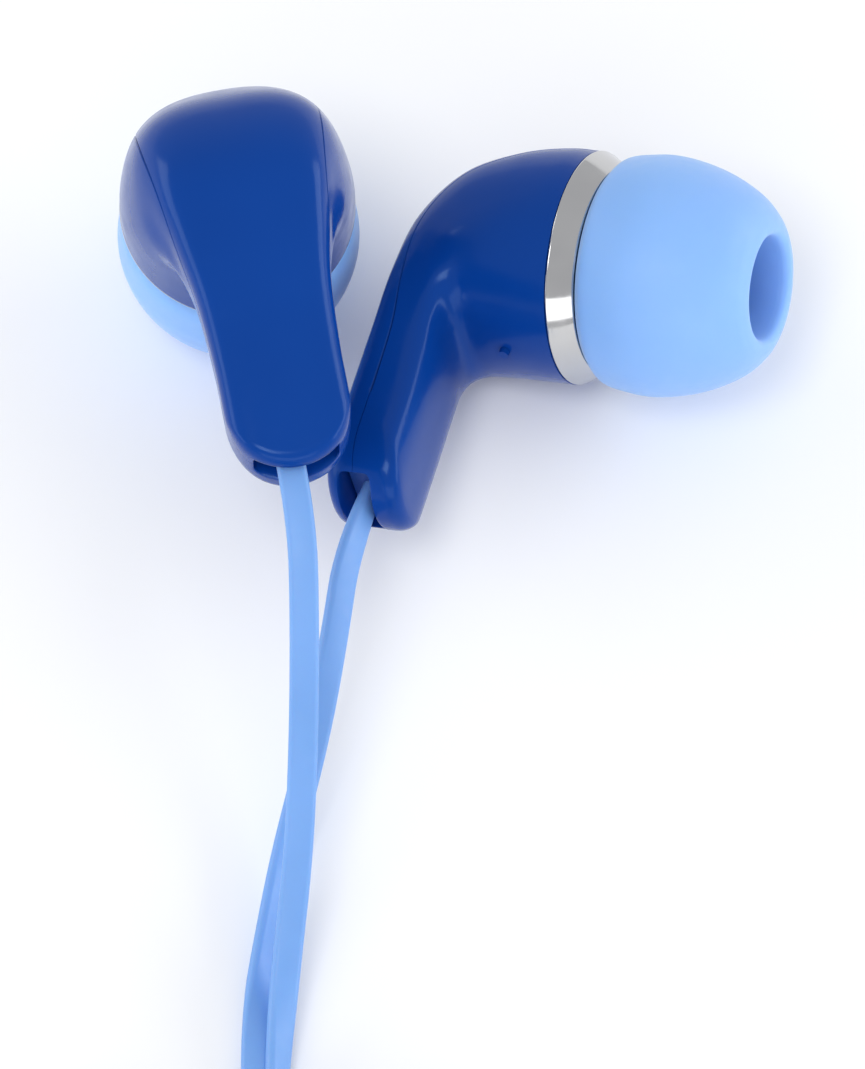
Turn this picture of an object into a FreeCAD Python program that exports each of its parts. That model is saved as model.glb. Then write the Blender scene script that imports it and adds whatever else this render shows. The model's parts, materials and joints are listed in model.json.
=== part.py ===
"""Wired in-ear earphones with flat cords, as an assembly of separate pieces.

Millimetres, +Z up. The origin is the bottom centre of the box around the two
ear buds: the left bud stands on its ear tip, the right one lies on its side,
and the cords run towards -Y, where their spare length lies in three flat coils.

A bud's own frame has its origin where the barrel meets the trim ring: +X out
through the ear tip, -Z down the stem, Y across the bud.
"""
import FreeCAD, Part
import math
import os

import Sketcher
from FreeCAD import Placement, Rotation, Vector

# Driving dimensions, one sheet cell each.
SIZES = {
    # bud housing
    "barrel_radius": 6.1,
    "shell_wall": 0.8,
    "parting_depth": 1.6,  # rear cover's depth, in from the back of the bud
    "stem_end": 17.6,  # from the barrel's axis to the end of the stem
    "tongue_depth": 2.6,  # how far the stem's end is rounded
    "tongue_half": 3.25,
    "slot_width": 4.4,
    "slot_depth": 1.8,
    "slot_centre": 6.9,
    "slot_length": 3.2,
    "vent_radius": 0.35,
    "vent_station": 2.65,
    # trim ring and nozzle
    "ring_rim": 0.25,
    "ring_radius": 6.12,
    "ring_cone_end": 1.35,
    "ring_cone_radius": 5.4,
    "ring_front": 1.55,
    "ring_front_radius": 4.8,
    "ring_bore": 2.5,
    "ring_seat": 0.75,
    "ring_seat_radius": 5.0,
    "nozzle_bore": 1.75,
    "nozzle_flange": 4.95,
    "nozzle_flange_depth": 0.7,
    "nozzle_tube": 2.3,
    "nozzle_barb": 2.6,
    "nozzle_barb_start": 5.2,
    "nozzle_barb_low": 5.4,
    "nozzle_barb_high": 6.0,
    "nozzle_length": 6.4,
    "mesh_station": 5.9,
    "mesh_depth": 0.2,
    "mesh_radius": 1.74,
    # ear tip
    "tip_back": 1.45,
    "tip_front": 10.15,
    "tip_radius": 6.3,
    "tip_back_radius": 5.45,
    "tip_mouth_radius": 2.95,
    "tip_bore": 2.66,
    "tip_core": 3.3,
    "tip_core_back": 2.0,
    "tip_skin": 0.42,
    # driver, stations measured back from the trim ring's seat
    "driver_back": 3.3,
    "driver_rim": 4.95,
    "driver_rim_inner": 4.6,
    "yoke_radius": 3.1,
    "yoke_bore": 2.75,
    "yoke_floor": 0.4,
    "yoke_depth": 1.5,
    "basket_step": 2.15,
    "basket_depth": 2.9,
    "magnet_radius": 2.0,
    "magnet_depth": 1.0,
    "plate_radius": 2.25,
    "plate_depth": 0.5,
    "coil_radius": 2.6,
    "coil_bore": 2.45,
    "coil_depth": 1.0,
    "coil_station": 1.85,
    "cone_station": 0.85,
    "cone_radius": 4.55,
    "cone_rise": 0.35,
    "cone_crest": 3.6,
    "cone_film": 0.12,
    "dome_rise": 0.35,
    "grille_station": 0.35,
    "grille_depth": 0.3,
    "grille_radius": 4.9,
    "grille_hole": 0.45,
    "grille_circle": 2.6,
    "grille_count": 8,
    "board_radius": 2.4,
    "board_depth": 0.4,
    "wire_diameter": 0.3,
    # cord gland, in the stem's slot
    "gland_width": 4.2,
    "gland_depth": 1.7,
    "gland_length": 2.4,
    "gland_face": 16.0,  # its outer face, down from the barrel's axis
    "left_exit_x": -6.9,  # where each cord leaves its gland
    "left_exit_y": 0.35,
    "right_exit_x": -6.65,
    "right_exit_y": 0.0,
    # where the two buds lie
    "left_x": -11.264,
    "left_y": 5.766,
    "left_z": 10.5,
    "left_yaw": 90.0,
    "left_pitch": 81.9,
    "left_roll": -11.0,
    "right_x": 6.956,
    "right_y": 4.226,
    "right_z": 6.6655,
    "right_yaw": -16.6,
    "right_pitch": -16.1,
    "right_roll": -97.6,
    # flat cords, as round cords of the same section area
    "branch_width": 1.5,
    "branch_diameter": 1.2,
    "main_width": 2.8,
    "main_diameter": 1.9,
    # coils of two flat layers of turns, each cord standing on edge
    "coil_base": 0.3,
    "layer_gap": 0.1,
    "branch_turn_outer": 7.6,
    "branch_turn_inner": 5.35,
    "branch_skin": 0.4,
    "branch_mouth": 5.0,
    "main_turn_outer": 16.9,
    "main_turn_inner": 11.65,
    "main_skin": 0.55,
    "main_mouth": 7.6,
    "left_coil_x": -1.3,
    "right_coil_x": -17.9,
    "branch_coil_y": -52.0,
    "main_coil_x": -3.4,
    "main_coil_y": -104.1,
    "main_entry_angle": 145.0,
    "tie_width": 2.6,
    "tie_thickness": 0.25,
    "tie_ease": 0.2,
    # splitter
    "splitter_x": -9.6,
    "splitter_back": -63.0,
    "splitter_length": 15.0,
    "splitter_half": 3.5,
    "splitter_nose": 2.4,
    "splitter_height": 3.8,
    "splitter_shell": 1.9,  # height of each half
    "splitter_wall": 0.7,
    "splitter_edge": 0.6,
    "splitter_spread": 1.0,
    "clamp_width": 3.4,
    "clamp_length": 5.0,
    "clamp_height": 1.8,
    # right-angle plug, pin along +X
    "plug_y": -131.0,
    "plug_axis": 3.2,
    "grip_half": 4.0,
    "grip_edge": 0.8,
    "relief_length": 6.0,
    "relief_radius": 2.2,
    "relief_tip": 1.4,
    "collar_radius": 2.6,
    "collar_depth": 0.8,
    "pin_radius": 1.75,
    "pin_bore": 1.2,
    "sleeve_length": 8.0,
    "insulator_rib": 0.5,
    "insulator_bore": 0.6,
    "contact_length": 1.6,
    "pin_tip_length": 3.4,
    "pin_neck": 1.1,
    "tip_step": 0.9,
    # shortest straight runs at the fittings
    "exit_run": 4.0,
    "tail_run": 2.0,
    "main_run": 3.0,
}

# Cross-sections of the bud from the ring down to the stem's end. Each runs from
# a front point to a back point in the bud's mid-plane, with a half-width and a
# roundness (2 is an ellipse, more is squarer) at the front and at the back.
SECTION_COLUMNS = ("front_x", "front_z", "back_x", "back_z",
                   "front_half", "back_half", "front_power", "back_power")
SECTIONS = {
    "mouth": (0, -6.15, 0, 6.1, 6.1, 6.1, 2.0, 2.0),
    "crown": (-1.6, -6.1, -1.5, 5.85, 6.05, 6.05, 2.0, 2.2),
    "shoulder": (-3.4, -6.0, -4.1, 4.8, 5.75, 5.75, 2.1, 2.7),
    "bend": (-4.6, -6.0, -6.85, 2.95, 5.2, 5.3, 2.3, 3.2),
    "elbow": (-5.05, -6.35, -8.7, -0.2, 4.5, 4.65, 2.6, 3.6),
    "throat": (-5.15, -7.2, -9.15, -3.9, 3.8, 4.1, 3.0, 4.0),
    "neck": (-5.0, -8.6, -9.1, -7.8, 3.4, 3.55, 3.4, 4.2),
    "stem": (-4.75, -12.0, -8.9, -12.0, 3.2, 3.3, 4.0, 4.4),
    "heel": (-4.55, -15.0, -8.7, -15.0, 3.2, 3.3, 4.0, 4.4),
    "toe": (-4.4, -18.0, -8.45, -18.0, 3.15, 3.25, 4.0, 4.4),
}

# Outline of the ear tip's skirt, as parts of its length and of its greatest radius.
SKIRT = ((0.06, 0.95), (0.18, 0.985), (0.32, 1.0), (0.48, 0.972), (0.64, 0.911),
         (0.78, 0.824), (0.88, 0.735), (0.955, 0.63))

# Cord routes, from where each leaves to where it goes in; the last point of a
# stretch that ends in a coil or a fitting is worked out from the sizes.
LEFT_DROP = [(-7.5, -19.0, 12.2), (-7.5, -24.0, 8.7), (-7.8, -29.0, 5.2),
             (-8.4, -34.0, 2.4), (-8.85, -39.0, 1.15), (-8.9, -43.5, 1.05)]
RIGHT_DROP = [(-6.3, -16.7, 5.8), (-7.4, -21.5, 3.4), (-8.9, -26.5, 1.7),
              (-10.0, -31.5, 0.95), (-10.35, -36.5, 0.85), (-10.3, -42.0, 1.05)]
MAIN_START = [(-9.6, -80.5, 1.9), (-10.2, -83.4, 1.75), (-11.4, -86.1, 1.7)]
WIRE_ROUTE = [(-3.7, 0.8, -1.0), (-5.2, 0.8, -1.7), (-6.6, 0.7, -4.2), (-7.1, 0.6, -8.0),
              (-7.0, 0.5, -11.0), (-6.9, 0.5, -13.6)]

doc = FreeCAD.newDocument("earphones")
sheet = doc.addObject("Spreadsheet::Sheet", "Sizes")
nodes = []


def fill_sheet():
    """Write every size and every section's numbers into its own named cell."""
    cells = dict(SIZES)
    for name, row in SECTIONS.items():
        cells.update({f"{name}_{column}": value for column, value in zip(SECTION_COLUMNS, row)})
    for line, (alias, value) in enumerate(cells.items(), start=1):
        sheet.set(f"A{line}", str(value))
        sheet.setAlias(f"A{line}", alias)
    doc.recompute()


def size(alias):
    return float(sheet.get(alias))


def total(formula):
    """Value of a sum of cells, such as "plug_axis - pin_radius"."""
    value = 0.0
    sign = 1
    for word in formula.split():
        if word in ("+", "-"):
            sign = 1 if word == "+" else -1
        else:
            value += sign * size(word)
    return value


def bound(formula):
    """The same sum as an expression on the sheet."""
    return " ".join(word if word in ("+", "-") else f"Sizes.{word}" for word in formula.split())


def keep(obj, label, place):
    """Name a finished sub-part, put it in place and list it for export."""
    obj.Label = label
    obj.Placement = place
    nodes.append(obj)
    return obj


def shift(x=0.0, y=0.0, z=0.0):
    return Placement(Vector(x, y, z), Rotation())


def plane_of(body, role):
    return next(f for f in body.Origin.OriginFeatures if f.Role == role)


def new_sketch(body, role):
    sketch = body.newObject("Sketcher::SketchObject", body.Name + "_sketch")
    sketch.AttachmentSupport = [(plane_of(body, role), "")]
    sketch.MapMode = "FlatFace"
    return sketch


def pin_point(sketch, edge, corner, axis, formula):
    """Fix one coordinate of a sketched corner to a sum of cells."""
    if formula == "0":
        sketch.addConstraint(Sketcher.Constraint("PointOnObject", edge, corner, -2 if axis == "X" else -1))
        return
    kind = "Distance" + axis
    index = sketch.addConstraint(Sketcher.Constraint(kind, -1, 1, edge, corner, total(formula)))
    sketch.setExpression(f"Constraints[{index}]", bound(formula))


def sketch_outline(sketch, outline):
    """Draw a closed outline of straight edges, each corner an (x, y) pair of sums."""
    corners = [Vector(*(0.0 if f == "0" else total(f) for f in pair), 0) for pair in outline]
    count = len(corners)
    for i in range(count):
        sketch.addGeometry(Part.LineSegment(corners[i], corners[(i + 1) % count]), False)
    for i in range(count):
        sketch.addConstraint(Sketcher.Constraint("Coincident", i, 2, (i + 1) % count, 1))
    for i, (across, up) in enumerate(outline):
        pin_point(sketch, i, 1, "X", across)
        pin_point(sketch, i, 1, "Y", up)


def turned(label, outline, place):
    """A piece turned about its own X axis from a half-outline of (station, radius) sums."""
    body = doc.addObject("PartDesign::Body", label)
    sketch = new_sketch(body, "XY_Plane")
    sketch_outline(sketch, outline)
    turn = body.newObject("PartDesign::Revolution", label + "_turn")
    turn.Profile = sketch
    turn.ReferenceAxis = (sketch, ["H_Axis"])
    turn.Angle = 360.0
    body.Tip = turn
    return keep(body, label, place)


def slab(label, outline, height, place, rounding=None):
    """A flat piece: an outline in its XY plane padded up, with its top edges rounded."""
    body = doc.addObject("PartDesign::Body", label)
    sketch = new_sketch(body, "XY_Plane")
    sketch_outline(sketch, outline)
    pad = body.newObject("PartDesign::Pad", label + "_pad")
    pad.Profile = sketch
    pad.setExpression("Length", bound(height))
    body.Tip = pad
    if rounding:
        doc.recompute()
        fillet = body.newObject("PartDesign::Fillet", label + "_edges")
        fillet.Base = (pad, [top_face(pad.Shape)])
        fillet.setExpression("Radius", bound(rounding))
        body.Tip = fillet
    return keep(body, label, place)


def top_face(shape):
    heights = [face.CenterOfMass.z for face in shape.Faces]
    return f"Face{heights.index(max(heights)) + 1}"


# ---- bud housing: lofted shell, parted into a rear cover and a front shell ----

def power(value, exponent):
    return math.copysign(abs(value) ** exponent, value)


def section_wire(name, inset):
    """One cross-section, drawn inwards by the inset, as a closed smooth wire."""
    front = Vector(size(name + "_front_x"), 0, size(name + "_front_z"))
    back = Vector(size(name + "_back_x"), 0, size(name + "_back_z"))
    along = (back - front).normalize()
    front = front + along * inset
    back = back - along * inset
    points = []
    for step in range(28):
        angle = 2 * math.pi * step / 28
        lean = (math.cos(angle) + 1) / 2
        roundness = mix(name, "power", lean)
        part = (power(math.cos(angle), 2 / roundness) + 1) / 2
        across = power(math.sin(angle), 2 / roundness) * (mix(name, "half", part) - inset)
        points.append(front + (back - front) * part + Vector(0, across, 0))
    curve = Part.BSplineCurve()
    curve.interpolate(Points=points, PeriodicFlag=True, Parameters=[step / 28 for step in range(29)])
    return Part.Wire([curve.toShape()])


def mix(name, column, part):
    low = size(f"{name}_front_{column}")
    return low + (size(f"{name}_back_{column}") - low) * part


def lofted(names, inset):
    return Part.makeLoft([section_wire(name, inset) for name in names], True, False)


def tongue():
    """A deep block over the whole bud, its lower end rounded like the stem's end."""
    half = size("tongue_half")
    low = -size("stem_end") + size("tongue_depth")
    wide = 3 * half
    arc = Part.Arc(Vector(0, half, low), Vector(0, 0, -size("stem_end")), Vector(0, -half, low))
    corners = [Vector(0, -half, low), Vector(0, -wide, low), Vector(0, -wide, wide),
               Vector(0, wide, wide), Vector(0, wide, low), Vector(0, half, low)]
    sides = [Part.LineSegment(a, b).toShape() for a, b in zip(corners, corners[1:])]
    face = Part.Face(Part.Wire([arc.toShape()] + sides))
    return face.extrude(Vector(-2 * wide, 0, 0))


def stem_slot():
    """The flat slot in the stem's end that the cord comes out of."""
    width = size("slot_width")
    depth = size("slot_depth")
    corner = Vector(-size("slot_centre") - depth / 2, -width / 2, -size("stem_end") - 1)
    return Part.makeBox(depth, width, size("slot_length") + 1, corner)


def vent():
    start = Vector(-size("vent_station"), 0, -size("barrel_radius") - 1)
    return Part.makeCylinder(size("vent_radius"), 3, start, Vector(0, 0, 1))


def cover_region():
    """Everything behind the parting line, which follows the back at an even depth."""
    line = []
    for name in SECTIONS:
        front = Vector(size(name + "_front_x"), 0, size(name + "_front_z"))
        back = Vector(size(name + "_back_x"), 0, size(name + "_back_z"))
        line.append(back + (front - back).normalize() * size("parting_depth"))
    line[0] = line[0] + Vector(1, 0, 0)
    curve = Part.BSplineCurve()
    curve.interpolate(line)
    far = 4 * size("barrel_radius")
    corners = [line[-1], Vector(line[-1].x, 0, -far), Vector(-far, 0, -far), Vector(-far, 0, far),
               Vector(line[0].x, 0, far), line[0]]
    sides = [Part.LineSegment(a, b).toShape() for a, b in zip(corners, corners[1:])]
    face = Part.Face(Part.Wire([curve.toShape()] + sides))
    face.translate(Vector(0, -far, 0))
    return face.extrude(Vector(0, 2 * far, 0))


def housing_shapes():
    names = list(SECTIONS)
    outer = lofted(names, 0).common(tongue())
    inner = lofted(names[:-1], size("shell_wall"))
    shell = outer.cut(inner).cut(stem_slot()).cut(vent())
    region = cover_region()
    return shell.common(region), shell.cut(region)


def shaped(label, shape, place):
    obj = doc.addObject("Part::Feature", label)
    solids = shape.Solids
    obj.Shape = solids[0] if len(solids) == 1 else Part.makeCompound(solids)
    return keep(obj, label, place)


# ---- ear tip ----

def ear_tip_shape():
    """Soft mushroom: an outer skirt that turns in at the mouth to a core on the nozzle."""
    back = size("tip_back")
    front = size("tip_front")
    bore = size("tip_bore")
    core = size("tip_core")
    skin = size("tip_skin")
    reach = front - back
    widest = size("tip_radius")
    mouth = size("tip_mouth_radius")
    outside = [Vector(back + along * reach, out * widest, 0) for along, out in SKIRT]
    outside = [Vector(back, size("tip_back_radius"), 0)] + outside + [Vector(front, mouth + 0.25, 0)]
    lip = Part.Arc(outside[-1], Vector(front - 0.03, mouth, 0), Vector(front - 0.3, bore, 0))
    inside = [Vector(back + 0.68 * reach, core, 0), Vector(back + 0.6 * reach, 0.94 * widest - 1.6 * skin, 0),
              Vector(back + 0.27 * reach, widest - skin, 0), Vector(back, size("tip_back_radius") - 0.17, 0)]
    core_back = size("tip_core_back")
    skirt = Part.BSplineCurve()
    skirt.interpolate(outside)
    lining = Part.BSplineCurve()
    lining.interpolate(inside)
    edges = [skirt.toShape(), lip.toShape(),
             Part.LineSegment(Vector(front - 0.3, bore, 0), Vector(core_back, bore, 0)).toShape(),
             Part.LineSegment(Vector(core_back, bore, 0), Vector(core_back, core, 0)).toShape(),
             Part.LineSegment(Vector(core_back, core, 0), inside[0]).toShape(),
             lining.toShape(), Part.LineSegment(inside[-1], outside[0]).toShape()]
    face = Part.Face(Part.Wire(edges))
    return face.revolve(Vector(0, 0, 0), Vector(1, 0, 0), 360)


# ---- cords ----

def cord_path(points):
    """Straight runs joined by the largest tangent arcs that the runs allow."""
    edges = []
    radii = []
    start = points[0]
    for before, corner, after in zip(points, points[1:], points[2:]):
        entry = (corner - before).normalize()
        leave = (after - corner).normalize()
        half_turn = entry.getAngle(leave) / 2
        reach = 0.45 * min((corner - before).Length, (after - corner).Length)
        radius = reach / math.tan(half_turn)
        inward = (leave - entry).normalize()
        middle = corner + inward * (radius / math.cos(half_turn) - radius)
        edges.append(Part.LineSegment(start, corner - entry * reach).toShape())
        edges.append(Part.Arc(corner - entry * reach, middle, corner + leave * reach).toShape())
        start = corner + leave * reach
        radii.append(round(radius, 1))
    edges.append(Part.LineSegment(start, points[-1]).toShape())
    return Part.Wire(edges), radii


def cord_shape(label, points, diameter):
    """A round cord along a route; prints its radii and how exact its volume is."""
    points = [Vector(*point) for point in points]
    path, radii = cord_path(points)
    ring = Part.Circle(points[0], points[1] - points[0], diameter / 2)
    tube = path.makePipeShell([Part.Wire([ring.toShape()])], True, False)
    exact = math.pi * diameter ** 2 / 4 * path.Length
    print(f"{label}: length {path.Length:.1f}, radii {radii}, volume ratio {tube.Volume / exact:.4f}")
    return tube


def layer_height(kind, layer):
    """Height of the middle of a coil's lower (0) or upper (1) layer of turns."""
    width = size(kind + "_width")
    return size("coil_base") + width / 2 + layer * (width + size("layer_gap"))


def coil_part(prefix, kind, centre, entry_angle, exit_angle, hand):
    """A ring over all the turns, with a straight mouth for the cord at each layer.

    hand is 1 for turns laid anticlockwise, seen from above, and -1 for clockwise.
    """
    base = Vector(centre.x, centre.y, size("coil_base"))
    disc_and_eye = []
    for part, edge in (("disc", f"Sizes.{kind}_turn_outer + Sizes.{kind}_skin"),
                       ("eye", f"Sizes.{kind}_turn_inner - Sizes.{kind}_skin")):
        cylinder = doc.addObject("Part::Cylinder", f"{prefix}_{part}")
        cylinder.setExpression("Radius", edge)
        cylinder.setExpression("Height", f"2 * Sizes.{kind}_width + Sizes.layer_gap")
        cylinder.Placement.Base = base
        disc_and_eye.append(cylinder)
    ring = doc.addObject("Part::Cut", prefix + "_ring")
    ring.Base, ring.Tool = disc_and_eye
    mouths = []
    for layer, angle, side in ((0, entry_angle, -hand), (1, exit_angle, hand)):
        mouth = doc.addObject("Part::Box", f"{prefix}_mouth_{layer}")
        mouth.setExpression("Length", f"2 * Sizes.{kind}_skin")
        mouth.setExpression("Width", f"Sizes.{kind}_mouth")
        mouth.setExpression("Height", f"Sizes.{kind}_width")
        turn = Rotation(Vector(0, 0, 1), angle)
        low = layer_height(kind, layer) - size(kind + "_width") / 2
        near = size(kind + "_turn_outer") - size(kind + "_skin")
        corner = Vector(near, min(0, side * size(kind + "_mouth")), 0)
        mouth.Placement = Placement(Vector(centre.x, centre.y, low) + turn.multVec(corner), turn)
        mouths.append(mouth)
    coil = doc.addObject("Part::MultiFuse", prefix + "_coil")
    coil.Shapes = [ring] + mouths
    keep(coil, prefix + "_coil", Placement())


def mouth_point(kind, centre, angle, layer, side):
    """Middle of a mouth's outer end, where the cord's tube meets the coil."""
    turn = Rotation(Vector(0, 0, 1), angle)
    point = turn.multVec(Vector(size(kind + "_turn_outer"), side * size(kind + "_mouth"), 0))
    return (centre.x + point.x, centre.y + point.y, layer_height(kind, layer))


def tie_part(prefix, kind, centre, bearing):
    """A thin band round one side of a coil."""
    outer = size(kind + "_turn_outer") + size(kind + "_skin")
    inner = size(kind + "_turn_inner") - size(kind + "_skin")
    ease = size("tie_ease")
    wall = size("tie_thickness")
    high = 2 * size(kind + "_width") + size("layer_gap") + 0.04
    tall = high + 2 * wall
    long = outer - inner + 2 * ease
    half = size("tie_width") / 2
    band = Part.makeBox(long + 2 * wall, 2 * half, tall, Vector(inner - ease - wall, -half, 0))
    band = band.makeFillet(0.6 * wall, [e for e in band.Edges if abs(e.tangentAt(e.FirstParameter).y) > 0.9])
    room = Part.makeBox(long, 2 * half + 1, high, Vector(inner - ease, -half - 0.5, wall))
    turn = Rotation(Vector(0, 0, 1), bearing)
    place = Placement(Vector(centre.x, centre.y, size("coil_base") - wall - 0.02), turn)
    shaped(prefix + "_coil_tie", band.cut(room), place)


# ---- one ear bud ----

def driver_grille(label, place):
    """Perforated front of the driver: a disc with a ring of holes and one in the middle."""
    body = doc.addObject("PartDesign::Body", label)
    sketch = new_sketch(body, "YZ_Plane")
    sketch.addGeometry(Part.Circle(Vector(0, 0, 0), Vector(0, 0, 1), size("grille_radius")), False)
    sketch.addConstraint(Sketcher.Constraint("Coincident", 0, 3, -1, 1))
    index = sketch.addConstraint(Sketcher.Constraint("Radius", 0, size("grille_radius")))
    sketch.setExpression(f"Constraints[{index}]", "Sizes.grille_radius")
    pad = body.newObject("PartDesign::Pad", label + "_pad")
    pad.Profile = sketch
    pad.setExpression("Length", "Sizes.grille_depth")
    holes = body.newObject("Sketcher::SketchObject", label + "_holes")
    holes.AttachmentSupport = [(plane_of(body, "YZ_Plane"), "")]
    holes.MapMode = "FlatFace"
    middle = Vector(size("grille_circle"), 0, 0)
    holes.addGeometry(Part.Circle(middle, Vector(0, 0, 1), size("grille_hole")), False)
    holes.addConstraint(Sketcher.Constraint("PointOnObject", 0, 3, -1))
    index = holes.addConstraint(Sketcher.Constraint("DistanceX", -1, 1, 0, 3, size("grille_circle")))
    holes.setExpression(f"Constraints[{index}]", "Sizes.grille_circle")
    index = holes.addConstraint(Sketcher.Constraint("Radius", 0, size("grille_hole")))
    holes.setExpression(f"Constraints[{index}]", "Sizes.grille_hole")
    pocket = body.newObject("PartDesign::Pocket", label + "_hole")
    pocket.Profile = holes
    pocket.Type = "ThroughAll"
    pocket.Reversed = True
    doc.recompute()
    pattern = body.newObject("PartDesign::PolarPattern", label + "_pattern")
    pattern.Originals = [pocket]
    pattern.Axis = (holes, ["N_Axis"])
    pattern.Angle = 360.0
    pattern.Occurrences = int(size("grille_count"))
    body.Tip = pattern
    return keep(body, label, place)


def bud_frame(side):
    turn = Rotation(size(side + "_yaw"), size(side + "_pitch"), size(side + "_roll"))
    return Placement(Vector(size(side + "_x"), size(side + "_y"), size(side + "_z")), turn)


def build_bud(side, housing):
    """All the pieces of one ear bud, each in the bud's frame and then moved to its place."""
    frame = bud_frame(side)
    rear_cover, front_shell = housing
    shaped(side + "_rear_cover", rear_cover, frame)
    shaped(side + "_front_shell", front_shell, frame)
    turned(side + "_trim_ring", [
        ("0", "ring_seat_radius"), ("0", "barrel_radius"), ("ring_rim", "ring_radius"),
        ("ring_cone_end", "ring_cone_radius"), ("ring_front", "ring_front_radius"),
        ("ring_front", "ring_bore"), ("ring_seat", "ring_bore"), ("ring_seat", "ring_seat_radius")], frame)
    turned(side + "_nozzle", [
        ("0", "nozzle_bore"), ("0", "nozzle_flange"), ("nozzle_flange_depth", "nozzle_flange"),
        ("nozzle_flange_depth", "nozzle_tube"), ("nozzle_barb_start", "nozzle_tube"),
        ("nozzle_barb_low", "nozzle_barb"), ("nozzle_barb_high", "nozzle_barb"),
        ("nozzle_length", "nozzle_tube"), ("nozzle_length", "nozzle_bore")], frame)
    disc(side + "_nozzle_mesh", "mesh_depth", "mesh_radius", frame * shift(size("mesh_station")))
    driver_grille(side + "_driver_grille", frame * shift(-size("grille_station")))
    turned(side + "_diaphragm", [
        ("0", "cone_radius"), ("cone_rise", "cone_crest"), ("0", "coil_radius"), ("dome_rise", "0"),
        ("dome_rise + cone_film", "0"), ("cone_film", "coil_radius"),
        ("cone_rise + cone_film", "cone_crest"), ("cone_film", "cone_radius")],
        frame * shift(-size("cone_station")))
    turned(side + "_voice_coil", [
        ("0", "coil_bore"), ("0", "coil_radius"), ("coil_depth", "coil_radius"), ("coil_depth", "coil_bore")],
        frame * shift(-size("coil_station")))
    magnet_back = -size("driver_back") + size("yoke_floor")
    disc(side + "_magnet", "magnet_depth", "magnet_radius", frame * shift(magnet_back))
    magnet_front = magnet_back + size("magnet_depth")
    disc(side + "_pole_plate", "plate_depth", "plate_radius", frame * shift(magnet_front))
    turned(side + "_driver_basket", [
        ("0", "0"), ("0", "yoke_radius"), ("yoke_depth", "yoke_radius"), ("basket_step", "driver_rim"),
        ("basket_depth", "driver_rim"), ("basket_depth", "driver_rim_inner"),
        ("basket_step + grille_depth", "driver_rim_inner"), ("yoke_depth + mesh_depth", "yoke_bore"),
        ("yoke_floor", "yoke_bore"), ("yoke_floor", "0")], frame * shift(-size("driver_back")))
    board_back = -size("driver_back") - size("board_depth")
    disc(side + "_terminal_board", "board_depth", "board_radius", frame * shift(board_back))
    wires = []
    for mirror in (1, -1):
        route = [(x, mirror * y, z) for x, y, z in WIRE_ROUTE]
        wires.append(cord_shape(side + "_lead_wires", route, size("wire_diameter")))
    shaped(side + "_lead_wires", Part.makeCompound(wires), frame)
    gland = doc.addObject("Part::Box", side + "_cord_gland")
    gland.setExpression("Length", "Sizes.gland_depth")
    gland.setExpression("Width", "Sizes.gland_width")
    gland.setExpression("Height", "Sizes.gland_length")
    gland_corner = shift(-size("slot_centre") - size("gland_depth") / 2,
                         -size("gland_width") / 2, -size("gland_face"))
    keep(gland, side + "_cord_gland", frame * gland_corner)
    shaped(side + "_ear_tip", ear_tip_shape(), frame)


def disc(label, depth, radius, place):
    turned(label, [("0", "0"), ("0", radius), (depth, radius), (depth, "0")], place)


# ---- cords, splitter and plug ----

def cord_part(label, route, kind):
    shaped(label, cord_shape(label, route, size(kind + "_diameter")), Placement())


def build_branch(side, drop, bearing, spread, hand):
    """One branch cord: down from the stem, round its coil and on to the splitter."""
    exit_x = size(side + "_exit_x")
    exit_y = size(side + "_exit_y")
    leave = [bud_frame(side).multVec(Vector(exit_x, exit_y, -size("gland_face") - run))
             for run in (0, size("exit_run"))]
    centre = Vector(size(side + "_coil_x"), size("branch_coil_y"), 0)
    angle = 90 + 90 * hand
    prefix = side + "_branch"
    coil_part(prefix, "branch", centre, angle, angle, hand)
    tie_part(prefix, "branch", centre, bearing)
    route = [tuple(point) for point in leave] + drop + [mouth_point("branch", centre, angle, 0, -hand)]
    cord_part(prefix + "_drop", route, "branch")
    start = mouth_point("branch", centre, angle, 1, hand)
    end = (size("splitter_x") + spread, size("splitter_back"), size("splitter_height") / 2)
    tail_run = size("tail_run")
    route = [start, (start[0], start[1] - tail_run, start[2]), (end[0], end[1] + tail_run, end[2]), end]
    cord_part(prefix + "_tail", route, "branch")


def splitter_half(label, place):
    """Half of the splitter's case: a tapered shell, open at the parting plane."""
    body = slab(label, [("0", "- splitter_half"), ("splitter_length", "- splitter_nose"),
                        ("splitter_length", "splitter_nose"), ("0", "splitter_half")],
                "splitter_shell", place, "splitter_edge")
    inner = new_sketch(body, "XY_Plane")
    wall = "splitter_wall"
    sketch_outline(inner, [(wall, "splitter_wall - splitter_half + splitter_wall"),
                           ("splitter_length - splitter_wall", "splitter_wall - splitter_nose"),
                           ("splitter_length - splitter_wall", "splitter_nose - splitter_wall"),
                           (wall, "splitter_half - splitter_wall - splitter_wall")])
    pocket = body.newObject("PartDesign::Pocket", label + "_room")
    pocket.Profile = inner
    pocket.Reversed = True
    pocket.setExpression("Length", "Sizes.splitter_shell - Sizes.splitter_wall")
    body.Tip = pocket


def build_splitter():
    """Two shells round a clamp that holds the three cords."""
    heading = Rotation(Vector(0, 0, 1), -90)
    middle = Vector(size("splitter_x"), size("splitter_back"), size("splitter_shell"))
    splitter_half("splitter_top", Placement(middle, heading))
    splitter_half("splitter_bottom", Placement(middle, heading * Rotation(Vector(1, 0, 0), 180)))
    clamp = doc.addObject("Part::Box", "splitter_clamp")
    clamp.setExpression("Length", "Sizes.clamp_width")
    clamp.setExpression("Width", "Sizes.clamp_length")
    clamp.setExpression("Height", "Sizes.clamp_height")
    inset = (size("splitter_length") + size("clamp_length")) / 2
    keep(clamp, "splitter_clamp", Placement(middle + Vector(
        -size("clamp_width") / 2, -inset, -size("clamp_height") / 2), Rotation()))


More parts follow.
